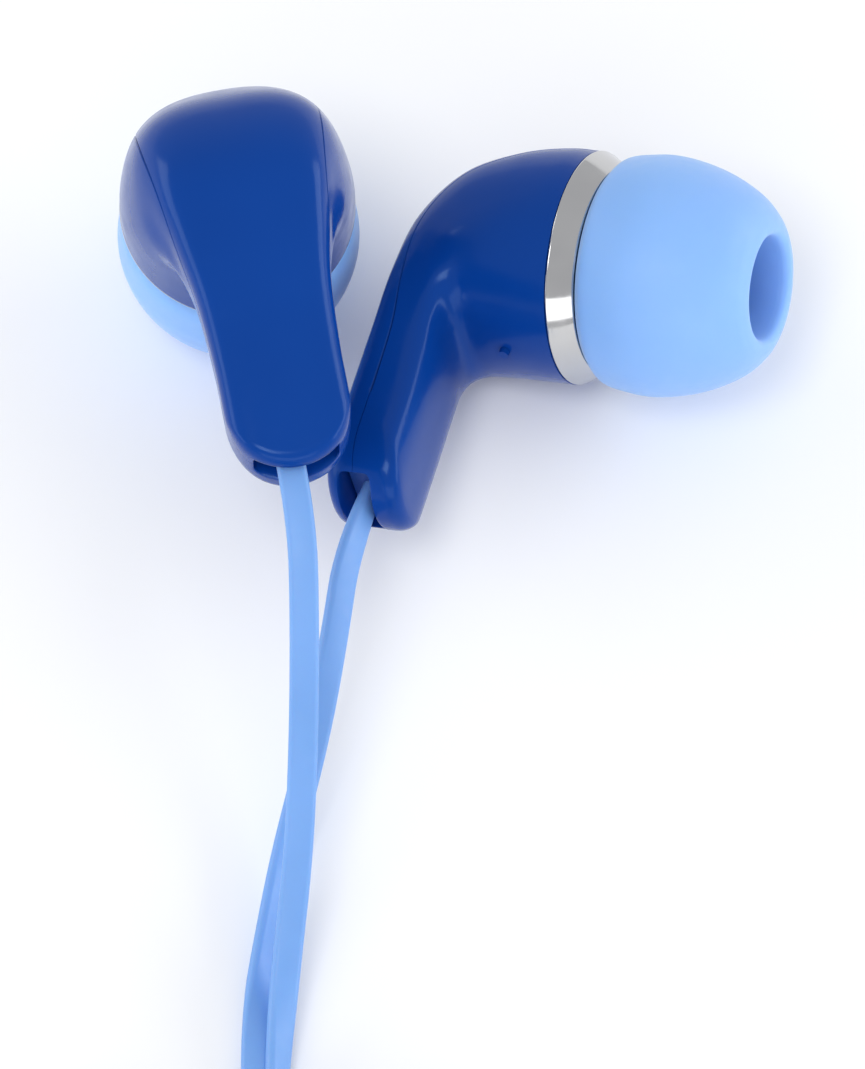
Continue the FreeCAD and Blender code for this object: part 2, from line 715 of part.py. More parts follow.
def build_main_lead():
    """The lead from the splitter, round its coil and on to the plug."""
    centre = Vector(size("main_coil_x"), size("main_coil_y"), 0)
    entry = size("main_entry_angle")
    coil_part("main", "main", centre, entry, 180, 1)
    tie_part("main", "main", centre, 20)
    exit_y = size("splitter_back") - size("splitter_length")
    route = [(size("splitter_x"), exit_y, size("splitter_shell"))] + MAIN_START
    cord_part("main_start", route + [mouth_point("main", centre, entry, 0, -1)], "main")
    start = mouth_point("main", centre, 180, 1, 1)
    run = size("main_run")
    relief = size("plug_y") + size("grip_half") + size("relief_length")
    route = [start, (start[0], start[1] - run, start[2]),
             (start[0], relief + run, size("plug_axis")), (start[0], relief, size("plug_axis"))]
    cord_part("main_end", route, "main")
    return start[0]


def build_plug(along):
    """Right-angle stereo plug: the lead comes in along -Y and the pin points along +X."""
    half = "grip_half"
    low = "- grip_half"
    middle = Vector(along, size("plug_y"), 0)
    slab("plug_grip", [(low, low), (half, low), (half, half), (low, half)],
         "plug_axis + plug_axis", Placement(middle, Rotation()), "grip_edge")
    relief_back = Vector(along, size("plug_y") + size("grip_half") + size("relief_length"), size("plug_axis"))
    turned("plug_strain_relief", [
        ("0", "0"), ("0", "relief_tip"), ("relief_length", "relief_radius"), ("relief_length", "0")],
        Placement(relief_back, Rotation(Vector(0, 0, 1), -90)))
    face = shift(along + size("grip_half"), size("plug_y"), size("plug_axis"))
    disc("plug_collar", "collar_depth", "collar_radius", face)
    pin = face * shift(size("collar_depth"))
    ring_start = "sleeve_length + insulator_rib"
    ring_end = ring_start + " + contact_length"
    tip_start = ring_end + " + insulator_rib"
    turned("plug_sleeve", [("0", "pin_bore"), ("0", "pin_radius"), ("sleeve_length", "pin_radius"),
                           ("sleeve_length", "pin_bore")], pin)
    turned("plug_ring", [(ring_start, "pin_bore"), (ring_start, "pin_radius"), (ring_end, "pin_radius"),
                         (ring_end, "pin_bore")], pin)
    turned("plug_insulator", [
        ("0", "insulator_bore"), ("0", "pin_bore"), ("sleeve_length", "pin_bore"),
        ("sleeve_length", "pin_radius"), (ring_start, "pin_radius"), (ring_start, "pin_bore"),
        (ring_end, "pin_bore"), (ring_end, "pin_radius"), (tip_start, "pin_radius"),
        (tip_start, "insulator_bore")], pin)
    turned("plug_tip", [
        ("0", "0"), ("0", "insulator_bore"), (tip_start, "insulator_bore"), (tip_start, "pin_radius"),
        (tip_start + " + tip_step", "pin_neck"), (tip_start + " + tip_step + tip_step", "pin_radius"),
        (tip_start + " + pin_tip_length", "insulator_bore"), (tip_start + " + pin_tip_length", "0")], pin)


def build():
    fill_sheet()
    housing = housing_shapes()
    for side in ("left", "right"):
        build_bud(side, housing)
    build_branch("left", LEFT_DROP, -30, size("splitter_spread"), 1)
    build_branch("right", RIGHT_DROP, 210, -size("splitter_spread"), -1)
    build_splitter()
    plug_x = build_main_lead()
    build_plug(plug_x)
    doc.recompute()


def export():
    """Stop on any failed object or bad shape, then write one file per sub-part."""
    for obj in doc.Objects:
        if {"Invalid", "Error"} & set(obj.State):
            raise RuntimeError(f"{obj.Label} failed: {obj.State}")
    for obj in nodes:
        if obj.Shape.isNull() or not obj.Shape.isValid():
            raise RuntimeError(f"{obj.Label} has a bad shape")
    os.makedirs("parts", exist_ok=True)
    for obj in nodes:
        obj.Shape.exportStep(f"parts/{obj.Label}.step")
        box = obj.Shape.BoundBox
        low = f"low {box.XMin:.2f} {box.YMin:.2f} {box.ZMin:.2f}"
        high = f"high {box.XMax:.2f} {box.YMax:.2f} {box.ZMax:.2f}"
        print(f"{obj.Label}: {len(obj.Shape.Solids)} solid, {obj.Shape.Volume:.2f} mm3, {low}, {high}")


build()
export()
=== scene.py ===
import json
import math

import bmesh
import bpy
from mathutils import Matrix, Vector


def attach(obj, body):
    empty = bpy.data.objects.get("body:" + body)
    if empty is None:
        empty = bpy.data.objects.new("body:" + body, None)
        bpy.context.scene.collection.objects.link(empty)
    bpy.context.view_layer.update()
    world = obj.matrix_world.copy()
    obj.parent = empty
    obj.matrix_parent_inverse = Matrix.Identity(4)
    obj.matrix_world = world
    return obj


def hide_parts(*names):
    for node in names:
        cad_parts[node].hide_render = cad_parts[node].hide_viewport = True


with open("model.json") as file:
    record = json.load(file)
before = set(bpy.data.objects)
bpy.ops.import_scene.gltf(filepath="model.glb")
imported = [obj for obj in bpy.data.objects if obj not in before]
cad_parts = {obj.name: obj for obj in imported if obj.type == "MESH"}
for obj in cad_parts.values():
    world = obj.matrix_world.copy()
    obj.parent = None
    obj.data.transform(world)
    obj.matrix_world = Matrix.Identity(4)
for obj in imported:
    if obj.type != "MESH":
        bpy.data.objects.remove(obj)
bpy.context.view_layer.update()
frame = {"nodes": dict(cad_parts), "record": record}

MM = 0.001
AROUND = 96  # points round a turned piece

# ---- where things lie, in millimetres, as the CAD model has them ----

# Each bud's origin, where its barrel meets the trim ring, and its yaw, pitch and roll.
BUDS = {
    "left": ((-11.264, 5.766, 10.5), (90.0, 81.9, -11.0)),
    "right": ((6.956, 4.226, 6.6655), (-16.6, -16.1, -97.6)),
}
# Cross-sections of a bud from its ring to its stem's end: front x and z, back x and z in the
# bud's mid-plane, half-width at the front and at the back, roundness at the front and back.
SECTIONS = [
    (0, -6.15, 0, 6.1, 6.1, 6.1, 2.0, 2.0),
    (-1.6, -6.1, -1.5, 5.85, 6.05, 6.05, 2.0, 2.2),
    (-3.4, -6.0, -4.1, 4.8, 5.75, 5.75, 2.1, 2.7),
    (-4.6, -6.0, -6.85, 2.95, 5.2, 5.3, 2.3, 3.2),
    (-5.05, -6.35, -8.7, -0.2, 4.5, 4.65, 2.6, 3.6),
    (-5.15, -7.2, -9.15, -3.9, 3.8, 4.1, 3.0, 4.0),
    (-5.0, -8.6, -9.1, -7.8, 3.4, 3.55, 3.4, 4.2),
    (-4.75, -12.0, -8.9, -12.0, 3.2, 3.3, 4.0, 4.4),
    (-4.55, -15.0, -8.7, -15.0, 3.2, 3.3, 4.0, 4.4),
    (-4.4, -18.0, -8.45, -18.0, 3.15, 3.25, 4.0, 4.4),
]
STEM_ROW = 7  # from here down the sections are level
STEM_END = -17.6  # the lowest point of the stem's rounded end
TONGUE_DEPTH = 2.6  # how far the rounded end rises towards its sides
TONGUE_HALF = 3.25
END_ROUNDING = 0.75
WALL = 0.8
PARTING_DEPTH = 1.6  # from the back to the line between cover and shell
PARTING_GAP = 0.018  # half the gap between the two halves
PARTING_CHAMFER = 0.05
SLOT_X = -6.9  # middle of the cord slot in the stem's end
SLOT_HALF = (0.9, 2.2)
SLOT_TOP = -14.4
VENT = (-2.65, 0.22)  # station along the barrel, radius
TIP_BACK = 1.45
TIP_FRONT = 10.15
TIP_RADIUS = 6.3
TIP_BORE = 2.66
TIP_MOUTH = 2.95
TIP_CORE = 3.3  # outside of the sleeve that grips the nozzle
TIP_SKIN = 0.42  # thickness of the skirt
# The ear tip's outside: share of its length from the back, share of its radius.
SKIRT = ((0.0, 0.868), (0.06, 0.95), (0.18, 0.985), (0.32, 1.0), (0.48, 0.972), (0.64, 0.911),
         (0.78, 0.824), (0.88, 0.735), (0.955, 0.63))
GLAND_FACE = -16.0  # where the cord leaves the gland, in the bud's frame
CORD_EXITS = {"left": (-6.9, 0.35), "right": (-6.65, 0.0)}
# The branch cords' routes: the CAD routes' points, moved up to 0.4 mm to follow the photograph.
LEFT_DROP = [(-7.65, -19.0, 12.2), (-7.7, -24.0, 8.7), (-7.95, -29.0, 5.2),
             (-8.6, -34.0, 2.4), (-9.05, -39.0, 1.2), (-9.1, -43.5, 1.05)]
RIGHT_DROP = [(-6.15, -16.7, 5.8), (-7.15, -21.5, 3.4), (-8.5, -26.5, 1.7),
              (-9.65, -31.5, 0.95), (-10.15, -36.5, 0.85), (-10.15, -42.0, 1.05)]
# The way each cord's width points, at each point of its drop.
LEFT_SIDES = [(-1, -0.1, 0)] * 3 + [(-1, 0, 0.15), (-0.65, 0, 0.75), (-0.3, 0, 0.95)]
RIGHT_SIDES = [(0.8, -0.1, -0.6), (1, 0, -0.2), (0.95, 0, -0.35),
               (0.45, 0, -0.9), (1, 0, -0.05), (0.9, 0, 0.45)]
MAIN_START = [(-9.6, -78.0, 1.9), (-9.6, -80.5, 1.9), (-10.2, -83.4, 1.75), (-11.4, -86.1, 1.7)]
COIL_BASE = 0.3
LAYER_GAP = 0.1
TURN_POINTS = 14  # points in each turn of a coil
BRANCH = {"width": 1.5, "thickness": 0.68, "outer": 7.6, "inner": 5.35, "mouth": 5.0, "turns": 6.0}
MAIN = {"width": 2.8, "thickness": 1.0, "outer": 16.9, "inner": 11.65, "mouth": 7.6,
        "turns": 9.0 + 35 / 360}
TIE_EASE = 0.2  # room between a tie and the turns
TIE_HALF = 1.3
TIE_THICK = 0.25
TIE_EDGE = 0.1
LEFT_COIL = (-1.3, -52.0)
RIGHT_COIL = (-17.9, -52.0)
MAIN_COIL = (-3.4, -104.1)
MAIN_ENTRY = 145.0
SPLITTER = (-9.6, -63.0, 1.9)
SPLITTER_LONG = 15.0
SPLITTER_HALVES = (3.5, 2.4)  # half-width at its back and at its nose
SPLITTER_GAP = 0.03  # half the gap between its two halves
SPLITTER_SPREAD = 1.0
PLUG = (MAIN_COIL[0] - MAIN["outer"], -131.0, 3.2)
RELIEF_START = -121.0
RELIEF_LONG = 6.0
GRIP_HALF = 4.0
COLLAR_DEPTH = 0.8
PIN_RADIUS = 1.75
PIN_BORE = 1.2


def bud_matrix(side):
    """A bud's own frame, in metres, as a matrix on millimetre coordinates."""
    place, (yaw, pitch, roll) = BUDS[side]
    turn = (Matrix.Rotation(math.radians(yaw), 4, "Z") @ Matrix.Rotation(math.radians(pitch), 4, "Y")
            @ Matrix.Rotation(math.radians(roll), 4, "X"))
    return Matrix.Scale(MM, 4) @ Matrix.Translation(place) @ turn


# ---- materials ----

def new_material(name):
    """A material with a Principled shader and object coordinates; returns the pieces of its tree."""
    material = bpy.data.materials.new(name)
    material.use_nodes = True
    tree = material.node_tree
    shader = tree.nodes["Principled BSDF"]
    coords = tree.nodes.new("ShaderNodeTexCoord")
    return material, tree, shader, coords.outputs["Object"]


def noise(tree, coords, scale, detail=2.0):
    """Fractal noise, about 0.5 on average."""
    node = tree.nodes.new("ShaderNodeTexNoise")
    node.inputs["Scale"].default_value = scale
    node.inputs["Detail"].default_value = detail
    tree.links.new(coords, node.inputs["Vector"])
    return node.outputs["Fac"]


def ramp(tree, value, low, high, start, end):
    """Maps a value onto low..high, between the places start and end."""
    node = tree.nodes.new("ShaderNodeMapRange")
    node.inputs["From Min"].default_value = start
    node.inputs["From Max"].default_value = end
    node.inputs["To Min"].default_value = low
    node.inputs["To Max"].default_value = high
    tree.links.new(value, node.inputs["Value"])
    return node.outputs["Result"]


def blend_colours(tree, value, dark, light):
    """A colour between two, by a value from 0 to 1."""
    node = tree.nodes.new("ShaderNodeMix")
    node.data_type = "RGBA"
    node.inputs["A"].default_value = (*dark, 1.0)
    node.inputs["B"].default_value = (*light, 1.0)
    tree.links.new(value, node.inputs["Factor"])
    return node.outputs["Result"]


def colour(tree, shader, value, dark, light):
    tree.links.new(blend_colours(tree, value, dark, light), shader.inputs["Base Color"])


def roughen(tree, shader, value, low, high, start=0.3, end=0.7):
    tree.links.new(ramp(tree, value, low, high, start, end), shader.inputs["Roughness"])


def patches(tree, coords, scale, detail=2.0):
    """Soft-edged patches, 0 to 1."""
    return ramp(tree, noise(tree, coords, scale, detail), 0.0, 1.0, 0.3, 0.7)


def bump(tree, shader, height, distance, strength):
    """Raises the surface by a value, by up to a distance in metres."""
    node = tree.nodes.new("ShaderNodeBump")
    node.inputs["Distance"].default_value = distance
    node.inputs["Strength"].default_value = strength
    tree.links.new(height, node.inputs["Height"])
    tree.links.new(node.outputs["Normal"], shader.inputs["Normal"])


def gloss_plastic(name, dark, light):
    """Moulded gloss plastic: a clear lacquer look with faint flow marks and fine handling marks."""
    material, tree, shader, coords = new_material(name)
    colour(tree, shader, patches(tree, coords, 90.0), dark, light)
    roughen(tree, shader, noise(tree, coords, 900.0, 4.0), 0.14, 0.24, 0.35, 0.75)
    shader.inputs["IOR"].default_value = 1.33
    shader.inputs["Specular Tint"].default_value = (0.45, 0.7, 1.0, 1.0)
    bump(tree, shader, noise(tree, coords, 700.0, 3.0), 0.000012, 0.5)
    return material


def silicone():
    """Soft satin silicone with a little light under its skin and a very fine grain."""
    material, tree, shader, coords = new_material("silicone")
    colour(tree, shader, patches(tree, coords, 160.0, 3.0), (0.23, 0.455, 0.92), (0.25, 0.48, 0.95))
    roughen(tree, shader, noise(tree, coords, 1500.0, 3.0), 0.42, 0.56)
    shader.inputs["Subsurface Weight"].default_value = 0.25
    shader.inputs["Subsurface Radius"].default_value = (0.3, 0.6, 1.0)
    shader.inputs["Subsurface Scale"].default_value = 0.0012
    shader.inputs["Sheen Weight"].default_value = 0.15
    bump(tree, shader, noise(tree, coords, 2600.0, 2.0), 0.00001, 0.4)
    return material


def chrome():
    """Bright plating over moulded plastic, with faint ripples and uneven polish."""
    material, tree, shader, coords = new_material("chrome")
    shader.inputs["Metallic"].default_value = 1.0
    colour(tree, shader, noise(tree, coords, 300.0), (0.50, 0.50, 0.51), (0.60, 0.60, 0.60))
    roughen(tree, shader, noise(tree, coords, 1200.0, 4.0), 0.06, 0.17, 0.35, 0.75)
    bump(tree, shader, noise(tree, coords, 420.0, 2.0), 0.00002, 0.35)
    return material


def cord_jacket():
    """Extruded elastomer: satin, slightly uneven in tint, with a fine matte grain."""
    material, tree, shader, coords = new_material("cord_jacket")
    colour(tree, shader, patches(tree, coords, 240.0, 3.0), (0.157, 0.347, 0.740), (0.175, 0.374, 0.785))
    roughen(tree, shader, noise(tree, coords, 1800.0, 3.0), 0.36, 0.52)
    shader.inputs["Subsurface Weight"].default_value = 0.12
    shader.inputs["Subsurface Scale"].default_value = 0.0006
    bump(tree, shader, noise(tree, coords, 3000.0, 2.0), 0.00001, 0.4)
    return material


def matte_plastic(name, dark, light, rough=0.5):
    """Finely etched moulded plastic."""
    material, tree, shader, coords = new_material(name)
    colour(tree, shader, patches(tree, coords, 200.0, 3.0), dark, light)
    roughen(tree, shader, noise(tree, coords, 1400.0, 3.0), rough - 0.06, rough + 0.08)
    bump(tree, shader, noise(tree, coords, 2400.0, 2.0), 0.000015, 0.6)
    return material


def bare_metal(name, dark, light, rough):
    """Drawn or stamped metal with fine scratches one way."""
    material, tree, shader, coords = new_material(name)
    shader.inputs["Metallic"].default_value = 1.0
    mapping = tree.nodes.new("ShaderNodeMapping")
    mapping.inputs["Scale"].default_value = (1.0, 12.0, 12.0)
    tree.links.new(coords, mapping.inputs["Vector"])
    lines = noise(tree, mapping.outputs["Vector"], 260.0, 4.0)
    colour(tree, shader, lines, dark, light)
    roughen(tree, shader, lines, rough - 0.06, rough + 0.1)
    bump(tree, shader, lines, 0.000008, 0.5)
    return material


MATERIALS = {
    "housing_blue": gloss_plastic("housing_blue", (0.0014, 0.04, 0.255), (0.002, 0.047, 0.29)),
    "trim_chrome": chrome(),
    "tip_silicone": silicone(),
    "cord_jacket": cord_jacket(),
    "fitting_blue": matte_plastic("fitting_blue", (0.010, 0.055, 0.27), (0.014, 0.068, 0.31)),
    "dark_plastic": matte_plastic("dark_plastic", (0.010, 0.014, 0.03), (0.018, 0.022, 0.045), 0.4),
    "steel": bare_metal("steel", (0.42, 0.43, 0.45), (0.6, 0.61, 0.63), 0.3),
    "magnet_nickel": bare_metal("magnet_nickel", (0.52, 0.51, 0.48), (0.66, 0.65, 0.61), 0.24),
    "copper": bare_metal("copper", (0.66, 0.3, 0.14), (0.82, 0.42, 0.2), 0.3),
    "clear_film": gloss_plastic("clear_film", (0.66, 0.62, 0.5), (0.75, 0.72, 0.6)),
    "circuit_board": matte_plastic("circuit_board", (0.02, 0.16, 0.06), (0.03, 0.22, 0.09), 0.35),
    "contact_metal": bare_metal("contact_metal", (0.80, 0.58, 0.26), (0.92, 0.72, 0.38), 0.16),
    "tie_band": matte_plastic("tie_band", (0.012, 0.012, 0.015), (0.03, 0.03, 0.035), 0.55),
}


# ---- mesh helpers ----

def make_piece(name, points, faces, slot, body="root", smooth_angle=40.0):
    """A mesh piece in metres with a slot's material, riding on a body."""
    mesh = bpy.data.meshes.new(name)
    build = bmesh.new()
    corners = [build.verts.new(p) for p in points]
    for face in faces:
        build.faces.new([corners[k] for k in face])
    bmesh.ops.remove_doubles(build, verts=build.verts, dist=1e-7)
    bmesh.ops.recalc_face_normals(build, faces=build.faces)
    build.to_mesh(mesh)
    build.free()
    piece = bpy.data.objects.new(name, mesh)
    bpy.context.scene.collection.objects.link(piece)
    mesh.materials.append(MATERIALS[slot])
    mesh.shade_smooth()
    mesh.set_sharp_from_angle(angle=math.radians(smooth_angle))
    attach(piece, body)
    return piece


def grid_faces(rows, columns, around=False, along=False, start=0):
    """Quads over a grid of rows by columns, closed round the columns and/or along the rows."""
    faces = []
    for i in range(rows if along else rows - 1):
        for j in range(columns if around else columns - 1):
            k = (j + 1) % columns
            n = (i + 1) % rows
            faces.append((start + i * columns + j, start + i * columns + k,
                          start + n * columns + k, start + n * columns + j))
    return faces


def turned_piece(name, profile, slot, matrix, body="root", closed=True, steps=AROUND):
    """A piece turned about its X axis from (station, radius) points; closed joins the last to the first."""
    points = []
    for station, radius in profile:
        for j in range(steps):
            angle = 2 * math.pi * j / steps
            points.append(matrix @ Vector((station, radius * math.cos(angle), radius * math.sin(angle))))
    faces = [tuple(reversed(face)) for face in grid_faces(len(profile), steps, True, closed)]
    if not closed:
        faces.append(tuple(range(steps)))
        faces.append(tuple(reversed(range(len(points) - steps, len(points)))))
    return make_piece(name, points, faces, slot, body)


def arc(centre, radius, start, end, steps):
    """Points on an arc in the (station, radius) plane, angles in degrees."""
    angles = [math.radians(start + (end - start) * k / steps) for k in range(steps + 1)]
    return [(centre[0] + radius * math.cos(a), centre[1] + radius * math.sin(a)) for a in angles]


def catmull(values, place):
    """A tuple on the smooth line through a row of tuples, at a place between 0 and the last index."""
    last = len(values) - 1
    index = min(int(place), last - 1)
    t = place - index
    picks = [values[max(0, min(last, index + k))] for k in (-1, 0, 1, 2)]
    if index == 0:
        picks[0] = tuple(2 * b - c for b, c in zip(picks[1], picks[2]))
    if index == last - 1:
        picks[3] = tuple(2 * c - b for b, c in zip(picks[1], picks[2]))
    return tuple(0.5 * (2 * b + (c - a) * t + (2 * a - 5 * b + 4 * c - d) * t * t
                        + (3 * b - a - 3 * c + d) * t ** 3) for a, b, c, d in zip(*picks))


def smooth_profile(points, steps):
    """A (station, radius) profile drawn smoothly through its points."""
    return [catmull(points, k / steps) for k in range(steps * (len(points) - 1) + 1)]


# ---- camera, light and floor ----

CAMERA_HEIGHT = 62.0  # degrees above the table
CAMERA_RANGE = 650 * MM
VIEW_TARGET = Vector((-1.165, -10.6, 5.0)) * MM
VIEW_TALL = 55.1 * MM  # how much of the scene the picture's height takes in
LIGHT_TARGET = Vector((0.0, -0.01, 0.005))


def set_camera():
    """The photograph's view: a long lens, straight from the front and well above."""
    data = bpy.data.cameras.new("camera")
    data.sensor_width = 36.0
    data.lens = data.sensor_width * CAMERA_RANGE / VIEW_TALL
    data.clip_start = 0.01
    data.clip_end = 20.0
    camera = bpy.data.objects.new("camera", data)
    bpy.context.scene.collection.objects.link(camera)
    lift = math.radians(CAMERA_HEIGHT)
    back = Vector((0.0, -math.cos(lift), math.sin(lift)))
    camera.location = VIEW_TARGET + back * CAMERA_RANGE
    camera.rotation_euler = back.to_track_quat("Z", "Y").to_euler()
    bpy.context.scene.camera = camera


def area_light(name, place, wide, tall, power):
    """A soft panel that faces the buds."""
    data = bpy.data.lights.new(name, "AREA")
    data.shape = "RECTANGLE"
    data.size = wide
    data.size_y = tall
    data.energy = power
    light = bpy.data.objects.new(name, data)
    bpy.context.scene.collection.objects.link(light)
    light.location = place
    light.rotation_euler = (Vector(place) - LIGHT_TARGET).to_track_quat("Z", "Y").to_euler()


def set_light():
    """Three low soft panels and a small key in an evenly lit tent."""
    world = bpy.data.worlds.new("studio")
    world.use_nodes = True
    background = world.node_tree.nodes["Background"]
    background.inputs["Color"].default_value = (0.97, 0.98, 1.0, 1.0)
    background.inputs["Strength"].default_value = 0.66
    bpy.context.scene.world = world
    area_light("left_panel", (-0.6, 0.06, 0.2), 0.8, 0.25, 1.4)
    area_light("right_panel", (0.6, 0.06, 0.22), 0.8, 0.3, 2.0)
    area_light("front_panel", (0.0, -0.62, 0.2), 0.8, 0.25, 1.0)
    area_light("key", (-0.12, -0.2, 0.53), 0.2, 0.2, 0.75)
    bpy.context.scene.view_settings.view_transform = "Standard"


def set_floor():
    """A wide, plain, pale floor."""
    half = 3.0
    corners = [(-half, -half, 0), (half, -half, 0), (half, half, 0), (-half, half, 0)]
    mesh = bpy.data.meshes.new("floor")
    mesh.from_pydata(corners, [], [(0, 1, 2, 3)])
    floor = bpy.data.objects.new("floor", mesh)
    bpy.context.scene.collection.objects.link(floor)
    material, tree, shader, coords = new_material("floor")
    colour(tree, shader, noise(tree, coords, 3.0), (0.955, 0.955, 0.96), (0.97, 0.97, 0.97))
    shader.inputs["Roughness"].default_value = 0.7
    mesh.materials.append(material)


# ---- cords ----

def spline_points(points):
    """Points along the NURBS that has these control points, in metres."""
    data = bpy.data.curves.new("route", "CURVE")
    data.dimensions = "3D"
    data.resolution_u = 8
    spline = data.splines.new("NURBS")
    spline.points.add(len(points) - 1)
    for target, point in zip(spline.points, points):
        target.co = (*point, 1.0)
    spline.order_u = 3
    spline.use_endpoint_u = True
    holder = bpy.data.objects.new("route", data)
    bpy.context.scene.collection.objects.link(holder)
    bpy.context.view_layer.update()
    mesh = bpy.data.meshes.new_from_object(holder.evaluated_get(bpy.context.evaluated_depsgraph_get()))
    found = [vertex.co.copy() for vertex in mesh.vertices]
    bpy.data.objects.remove(holder)
    bpy.data.meshes.remove(mesh)
    return found


def flat_section(width, thickness):
    """A flat cord's section with well rounded edges, as (across, up) points."""
    radius = thickness * 0.42
    points = []
    for corner, (sx, sy) in enumerate(((1, 1), (-1, 1), (-1, -1), (1, -1))):
        for k in range(5):
            angle = math.radians(90 * corner + 22.5 * k)
            points.append((sx * (width / 2 - radius) + radius * math.cos(angle),
                           sy * (thickness / 2 - radius) + radius * math.sin(angle)))
    return points


def flat_cord(name, route, sides, width, thickness):
    """A flat cord along a route in millimetres; sides are the ways its width points there."""
    control = [Vector(p) * MM for p in route]
    line = spline_points(control)
    edge = spline_points([p + Vector(s).normalized() * MM for p, s in zip(control, sides)])
    section = flat_section(width * MM, thickness * MM)
    points = []
    for i, point in enumerate(line):
        ahead = line[min(i + 1, len(line) - 1)] - line[max(i - 1, 0)]
        ahead.normalize()
        side = edge[i] - point
        side = (side - ahead * side.dot(ahead)).normalized()
        up = ahead.cross(side)
        points += [point + side * across + up * high for across, high in section]
    count = len(section)
    faces = grid_faces(len(line), count, True)
    faces.append(tuple(reversed(range(count))))
    faces.append(tuple(range(len(points) - count, len(points))))
    return make_piece(name, points, faces, "cord_jacket", smooth_angle=60.0), line


def layer_height(kind, layer):
    """Height of the middle of a coil's layer, 0 for the one on the floor."""
    return COIL_BASE + kind["width"] / 2 + layer * (kind["width"] + LAYER_GAP)


def smoothstep(value):
    """Eases from 0 to 1."""
    value = max(0.0, min(1.0, value))
    return value * value * (3 - 2 * value)


def coil_turns(kind, centre, start_angle, hand):
    """A coil's points, the cord on edge: inwards on the floor layer, then outwards on the upper one."""
    turns = kind["turns"]
    count = round(TURN_POINTS * turns)
    low, high = layer_height(kind, 0), layer_height(kind, 1)
    points = []
    for k in range(count + 1):
        part = k / count
        angle = math.radians(start_angle) + hand * 2 * math.pi * turns * part
        radius = kind["inner"] + (kind["outer"] - kind["inner"]) * abs(1 - 2 * part)
        lift = smoothstep((part - 0.5) * turns + 0.5)
        points.append((centre[0] + radius * math.cos(angle), centre[1] + radius * math.sin(angle),
                       low + (high - low) * lift))
    return points


def mouth_point(kind, centre, angle, layer, side):
    """Where a cord's straight stretch meets its coil, at one layer."""
    turn = math.radians(angle)
    outer, mouth = kind["outer"], side * kind["mouth"]
    return (centre[0] + outer * math.cos(turn) - mouth * math.sin(turn),
            centre[1] + outer * math.sin(turn) + mouth * math.cos(turn), layer_height(kind, layer))


def branch_cord(side, drop, drop_sides, centre, hand, spread, fittings):
    """One branch cord, from its bud's gland through its coil to the splitter."""
    matrix = bud_matrix(side)
    leave = [matrix @ Vector((*CORD_EXITS[side], GLAND_FACE - run)) / MM for run in (0, 4.0)]
    angle = 90 + 90 * hand
    entry = mouth_point(BRANCH, centre, angle, 0, -hand)
    exit_point = mouth_point(BRANCH, centre, angle, 1, hand)
    turns = coil_turns(BRANCH, centre, angle, hand)
    end = (SPLITTER[0] + spread, SPLITTER[1], SPLITTER[2])
    tail = [exit_point, (exit_point[0], exit_point[1] - 2.0, exit_point[2]),
            (end[0], end[1] + 2.0, end[2]), end]
    route = [*leave, *drop, entry, *turns, *tail]
    across = matrix.to_3x3() @ Vector((0, 1, 0))
    upright = (0, 0, 1)
    sides = [across, across + Vector(drop_sides[0]), *drop_sides, upright, *[upright] * len(turns),
             upright, upright, (-0.7, 0, 0.7), (-1, 0, 0)]
    piece, line = flat_cord(side + "_branch_cord", route, sides, BRANCH["width"], BRANCH["thickness"])
    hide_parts(side + "_branch_drop", side + "_branch_coil", side + "_branch_tail")


def main_lead(fittings):
    """The lead from the splitter through its coil to the plug's strain relief."""
    entry = mouth_point(MAIN, MAIN_COIL, MAIN_ENTRY, 0, -1)
    leave = mouth_point(MAIN, MAIN_COIL, 180.0, 1, 1)
    turns = coil_turns(MAIN, MAIN_COIL, MAIN_ENTRY, 1)
    tail = [leave, (leave[0], leave[1] - 3.0, leave[2]), (PLUG[0], RELIEF_START + 3.0, PLUG[2]),
            (PLUG[0], RELIEF_START, PLUG[2])]
    route = [*MAIN_START, entry, *turns, *tail]
    upright = (0, 0, 1)
    sides = [(1, 0, 0), (1, 0, 0), (0.9, 0, 0.4), (0.5, 0, 0.85), upright, *[upright] * len(turns),
             upright, upright, upright, upright]
    piece, line = flat_cord("main_lead", route, sides, MAIN["width"], MAIN["thickness"])
    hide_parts("main_start", "main_coil", "main_end")


# ---- bud housing ----

def section_row(place):
    """The numbers of the cross-section at a place between the first and last rows."""
    return catmull(SECTIONS, place)


def section_point(row, angle, inset=0.0):
    """A point of a cross-section, drawn inwards by the inset; angle 0 is the middle of its back."""
    front = Vector((row[0], 0, row[1]))
    back = Vector((row[2], 0, row[3]))
    along = (back - front).normalized()
    front = front + along * inset
    back = back - along * inset
    cosine, sine = math.cos(angle), math.sin(angle)
    roundness = row[6] + (row[7] - row[6]) * (cosine + 1) / 2
    part = (math.copysign(abs(cosine) ** (2 / roundness), cosine) + 1) / 2
    half = row[4] + (row[5] - row[4]) * part - inset
    across = math.copysign(abs(sine) ** (2 / roundness), sine) * half
    return front + (back - front) * part + Vector((0, across, 0))


def angle_at_depth(row, depth):
    """Where round a cross-section the surface lies this far in from the back."""
    long = math.hypot(row[2] - row[0], row[3] - row[1])
    low, high = 0.0, math.pi
    for _ in range(40):
        middle = (low + high) / 2
        point = section_point(row, middle)
        inward = math.hypot(point.x - row[2], point.z - row[3])
        if inward < min(depth, long):
            low = middle
        else:
            high = middle
    return low


